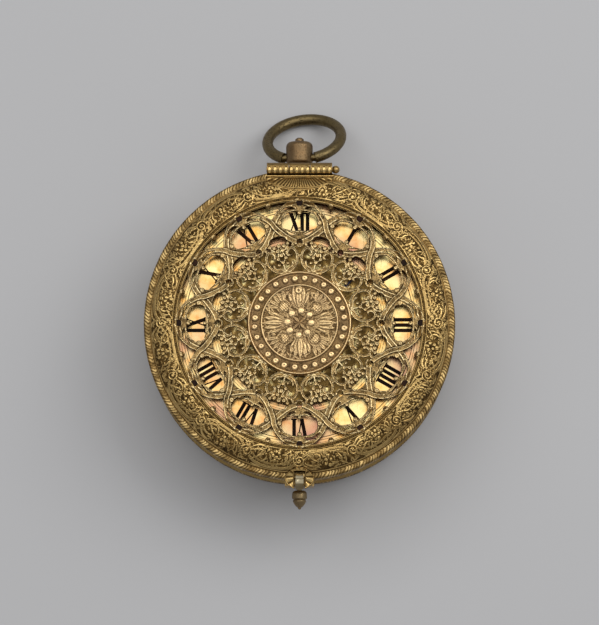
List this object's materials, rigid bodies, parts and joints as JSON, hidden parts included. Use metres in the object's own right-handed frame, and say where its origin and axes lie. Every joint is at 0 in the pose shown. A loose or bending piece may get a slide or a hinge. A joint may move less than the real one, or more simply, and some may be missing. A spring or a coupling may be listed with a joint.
{
  "type": "clock watch",
  "caption": "Striking clock watch in a drum case with pierced hinged covers, a dial with one hand, a bell and a pendant ring.",
  "frame": {"origin": "middle of the back, in the plane of the flat ring and boss that the watch lies on", "axes": "+Z out of the dial, +Y towards XII and the pendant, +X towards III"},
  "size_m": [0.0778, 0.1026, 0.0314],
  "materials": {
    "case_gilt": "worn fire gilding over brass, dark in its recesses",
    "grille_gilt": "pale worn gilding",
    "dial_gilt": "polished gilding",
    "pendant_brass": "brown worn brass",
    "movement_brass": "gilt movement brass",
    "bell_metal": "pale bell metal",
    "steel": "grey steel",
    "blued_steel": "dark blued steel"
  },
  "bodies": {
    "case": {"case_band": "case_gilt", "front_hinge_pin": "case_gilt", "back_hinge_pin": "case_gilt", "pendant_stud": "pendant_brass", "catch_spring": "steel", "dial_plate": "dial_gilt", "dial_feet": "movement_brass", "dial_screws": "steel", "hour_post": "steel", "pillar_plate": "movement_brass", "top_plate": "movement_brass", "pillars": "movement_brass", "pillar_pins": "steel", "balance_cock": "movement_brass", "cock_screw": "steel", "potence": "movement_brass", "counter_potence": "movement_brass", "hammer_spring": "steel", "count_stud": "steel"},
    "front_cover": {"cover_shell": "case_gilt", "cover_grille": "grille_gilt", "cover_medallion": "grille_gilt"},
    "back_cover": {"back_shell": "case_gilt", "back_grille": "grille_gilt", "bell": "bell_metal", "bell_stud": "steel", "bell_nut": "steel"},
    "pendant": {"pendant_knob": "pendant_brass"},
    "ring": {"pendant_ring": "pendant_brass"},
    "catch": {"catch_hook": "steel", "catch_finial": "case_gilt"},
    "hour": {"hour_hand": "blued_steel", "hour_wheel": "movement_brass"},
    "going_drum": {"going_barrel": "movement_brass", "going_barrel_cap": "movement_brass", "going_spring": "blued_steel"},
    "going_winder": {"going_arbor": "steel", "going_ratchet": "steel"},
    "going_pawl": {"going_click": "steel"},
    "second": {"second_wheel": "movement_brass"},
    "contrate": {"contrate_wheel": "movement_brass"},
    "escape": {"escape_wheel": "movement_brass"},
    "balance": {"verge": "steel", "balance_wheel": "movement_brass"},
    "strike_drum": {"strike_barrel": "movement_brass", "strike_barrel_cap": "movement_brass", "strike_spring": "blued_steel"},
    "strike_winder": {"strike_arbor": "steel", "strike_ratchet": "steel"},
    "strike_pawl": {"strike_click": "steel"},
    "pin": {"pin_wheel": "movement_brass"},
    "locking": {"locking_wheel": "movement_brass"},
    "fly_vanes": {"fly": "steel"},
    "striker": {"hammer": "steel"},
    "count": {"count_wheel": "movement_brass"},
    "detent": {"count_detent": "steel"}
  },
  "joints": [
    {"name": "front_cover_hinge", "type": "hinge", "parent": "case", "child": "front_cover", "pos_m": [0, 0.0391, 0.027], "axis": [-1, 0, 0], "range_deg": [0, 100]},
    {"name": "back_cover_hinge", "type": "hinge", "parent": "case", "child": "back_cover", "pos_m": [0, 0.0393, 0.005], "axis": [-1, 0, 0], "range_deg": [-100, 0]},
    {"name": "pendant_swivel", "type": "hinge", "parent": "case", "child": "pendant", "pos_m": [0, 0.045, 0.015], "axis": [0, 1, 0], "continuous": true},
    {"name": "ring_swing", "type": "hinge", "parent": "pendant", "child": "ring", "pos_m": [0, 0.04385, 0.015], "axis": [0.9816, 0, 0.1908], "range_deg": [-41, 138]},
    {"name": "catch_press", "type": "slide", "parent": "case", "child": "catch", "axis": [0, 1, 0], "range_m": [0, 0.0008], "stiffness_N_per_m": 200},
    {"name": "going_spin", "type": "hinge", "parent": "case", "child": "going_drum", "pos_m": [-0.012, 0, 0.015], "axis": [0, 0, 1], "continuous": true},
    {"name": "hour_spin", "type": "hinge", "parent": "case", "child": "hour", "pos_m": [0, 0, 0.015], "axis": [0, 0, 1], "continuous": true},
    {"name": "second_spin", "type": "hinge", "parent": "case", "child": "second", "pos_m": [-0.01699, -0.0108, 0.015], "axis": [0, 0, 1], "continuous": true},
    {"name": "contrate_spin", "type": "hinge", "parent": "case", "child": "contrate", "pos_m": [-0.00938, -0.01435, 0.015], "axis": [0, 0, 1], "continuous": true},
    {"name": "escape_spin", "type": "hinge", "parent": "case", "child": "escape", "pos_m": [-0.00092, -0.01743, 0.0151], "axis": [0.9397, -0.342, 0], "continuous": true},
    {"name": "balance_swing", "type": "hinge", "parent": "case", "child": "balance", "pos_m": [0.0018, -0.01842, 0.015], "axis": [0, 0, 1], "range_deg": [-40, 40]},
    {"name": "going_wind", "type": "hinge", "parent": "case", "child": "going_winder", "pos_m": [-0.012, 0, 0.015], "axis": [0, 0, 1], "continuous": true},
    {"name": "going_click_lift", "type": "hinge", "parent": "case", "child": "going_pawl", "pos_m": [-0.0147, 0.00322, 0.0098], "axis": [0, 0, 1], "range_deg": [0, 12]},
    {"name": "strike_spin", "type": "hinge", "parent": "case", "child": "strike_drum", "pos_m": [0.012, 0, 0.015], "axis": [0, 0, 1], "continuous": true},
    {"name": "count_spin", "type": "hinge", "parent": "case", "child": "count", "pos_m": [0, 0, 0.0095], "axis": [0, 0, 1], "continuous": true},
    {"name": "pin_spin", "type": "hinge", "parent": "case", "child": "pin", "pos_m": [0.01795, -0.01031, 0.015], "axis": [0, 0, 1], "continuous": true},
    {"name": "locking_spin", "type": "hinge", "parent": "case", "child": "locking", "pos_m": [0.01106, -0.01511, 0.015], "axis": [0, 0, 1], "continuous": true},
    {"name": "fly_spin", "type": "hinge", "parent": "case", "child": "fly_vanes", "pos_m": [0.01209, -0.0209, 0.015], "axis": [0, 0, 1], "continuous": true},
    {"name": "strike_wind", "type": "hinge", "parent": "case", "child": "strike_winder", "pos_m": [0.012, 0, 0.015], "axis": [0, 0, 1], "continuous": true},
    {"name": "strike_click_lift", "type": "hinge", "parent": "case", "child": "strike_pawl", "pos_m": [0.01522, 0.0027, 0.0216], "axis": [0, 0, 1], "range_deg": [0, 12]},
    {"name": "hammer_blow", "type": "hinge", "parent": "case", "child": "striker", "pos_m": [0.0235, -0.003, 0.015], "axis": [0, 0, 1], "range_deg": [-4, 14]},
    {"name": "detent_lift", "type": "hinge", "parent": "case", "child": "detent", "pos_m": [0.0065, 0.01126, 0.0092], "axis": [0, 0, 1], "range_deg": [0, 10]}
  ],
  "couplings": [
    {"joint": "hour_spin", "follows": "going_spin", "ratio": -0.33333},
    {"joint": "second_spin", "follows": "going_spin", "ratio": -6},
    {"joint": "contrate_spin", "follows": "going_spin", "ratio": 36},
    {"joint": "escape_spin", "follows": "going_spin", "ratio": -240},
    {"joint": "count_spin", "follows": "strike_spin", "ratio": -0.33333},
    {"joint": "pin_spin", "follows": "strike_spin", "ratio": -6},
    {"joint": "locking_spin", "follows": "strike_spin", "ratio": 36},
    {"joint": "fly_spin", "follows": "strike_spin", "ratio": -216}
  ]
}
